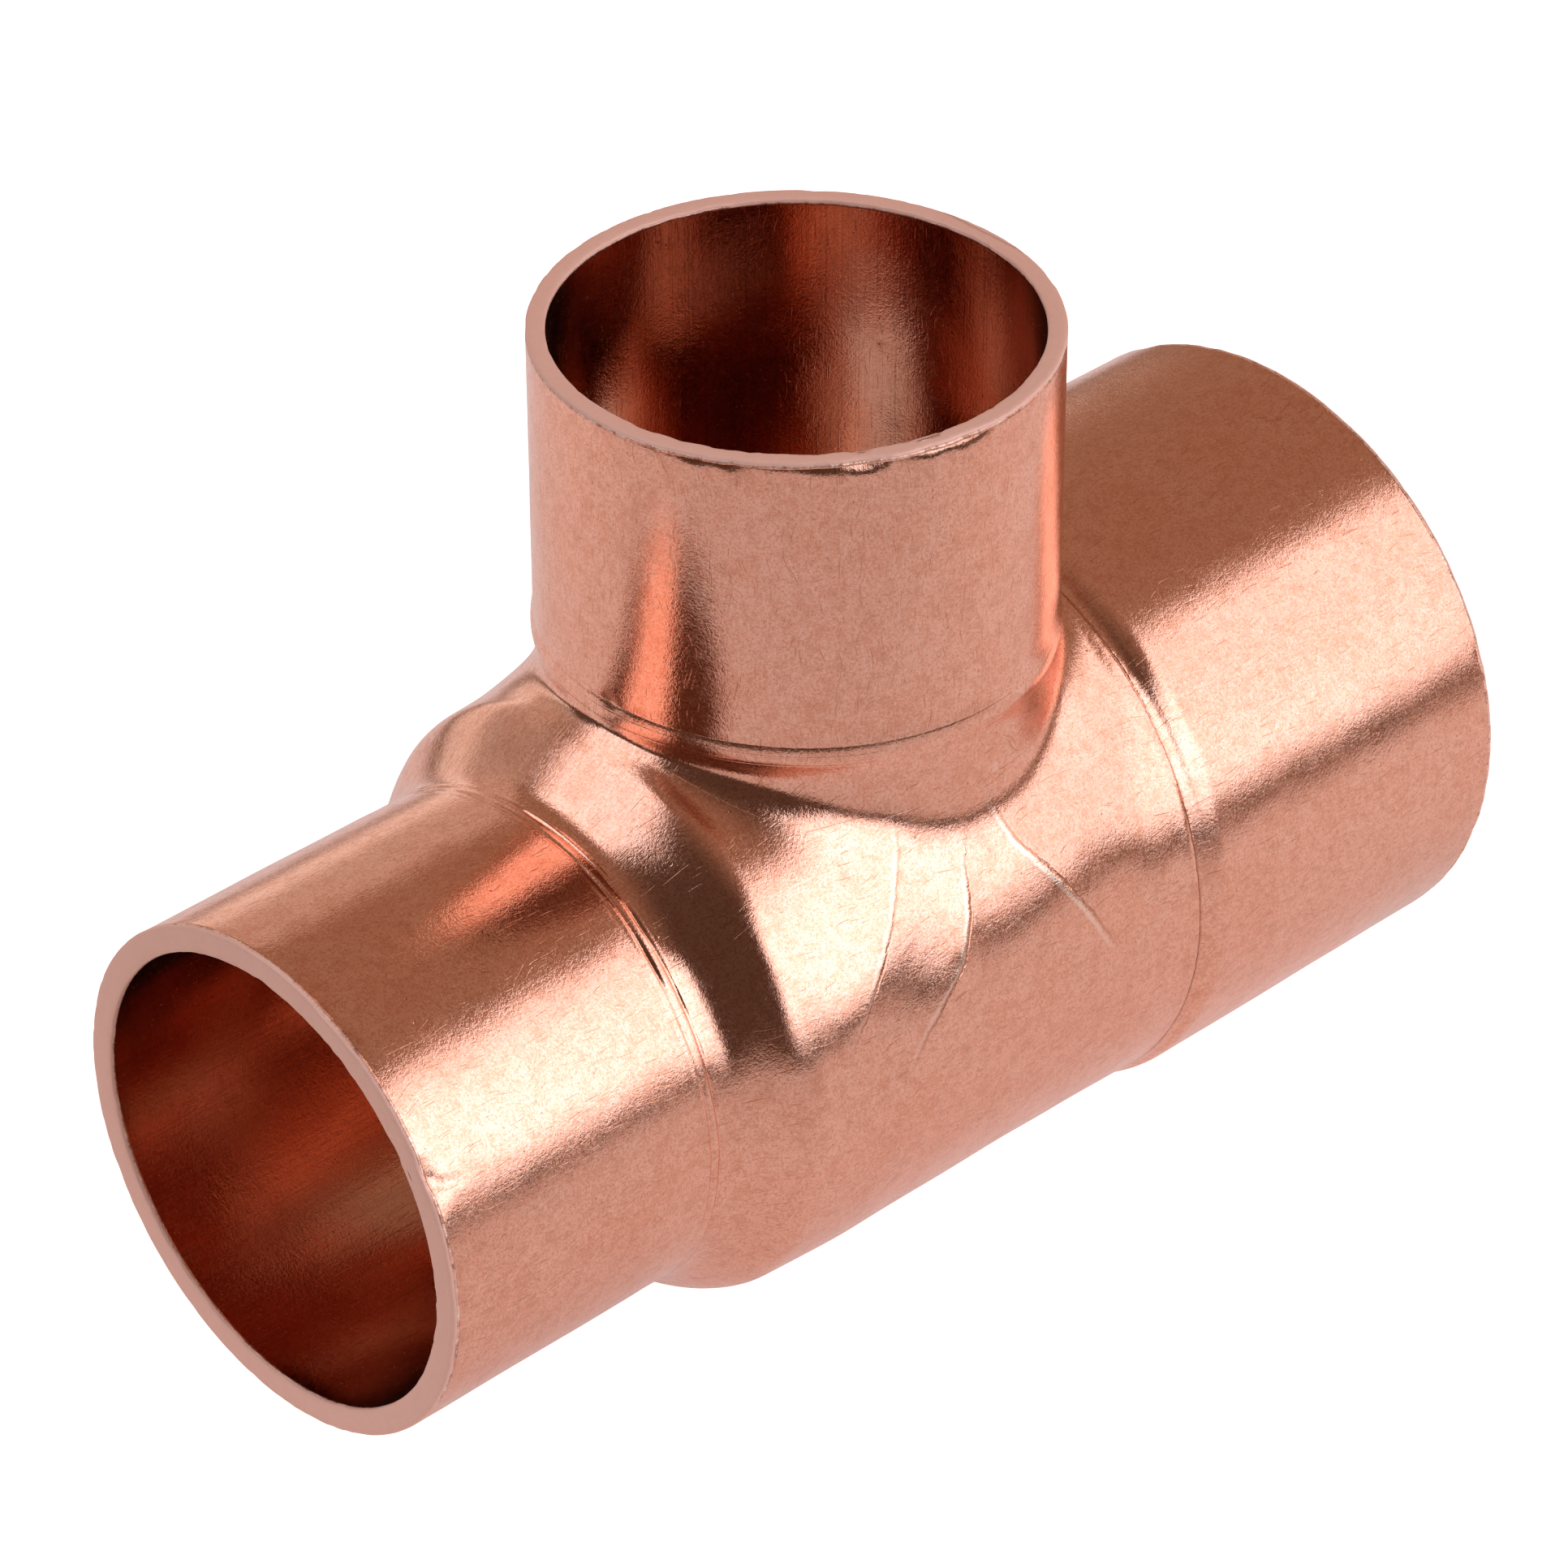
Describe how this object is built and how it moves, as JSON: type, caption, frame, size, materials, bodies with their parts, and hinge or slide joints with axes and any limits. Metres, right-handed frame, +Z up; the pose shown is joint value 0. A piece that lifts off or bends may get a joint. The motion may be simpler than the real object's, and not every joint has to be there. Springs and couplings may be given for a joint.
{
  "type": "pipe tee fitting",
  "caption": "One-piece copper reducing tee for soldered tube: a 28 mm and a 22 mm socket in line, and a 22 mm branch.",
  "frame": {"origin": "underside of the 28 mm socket, straight below the crossing of the run and branch axes", "axes": "+Z up along the branch, out of its mouth; +X along the run, out of the 28 mm mouth; the run's axis is 15.4 mm above z = 0"},
  "size_m": [0.0637, 0.0308, 0.0461],
  "materials": {
    "copper": "bare formed copper, dull polished outside with fine scratches, draw lines and tool rings, matte saw-cut rims, darker red-brown inside"
  },
  "bodies": {
    "root": {"tee_body": "copper"}
  },
  "joints": []
}
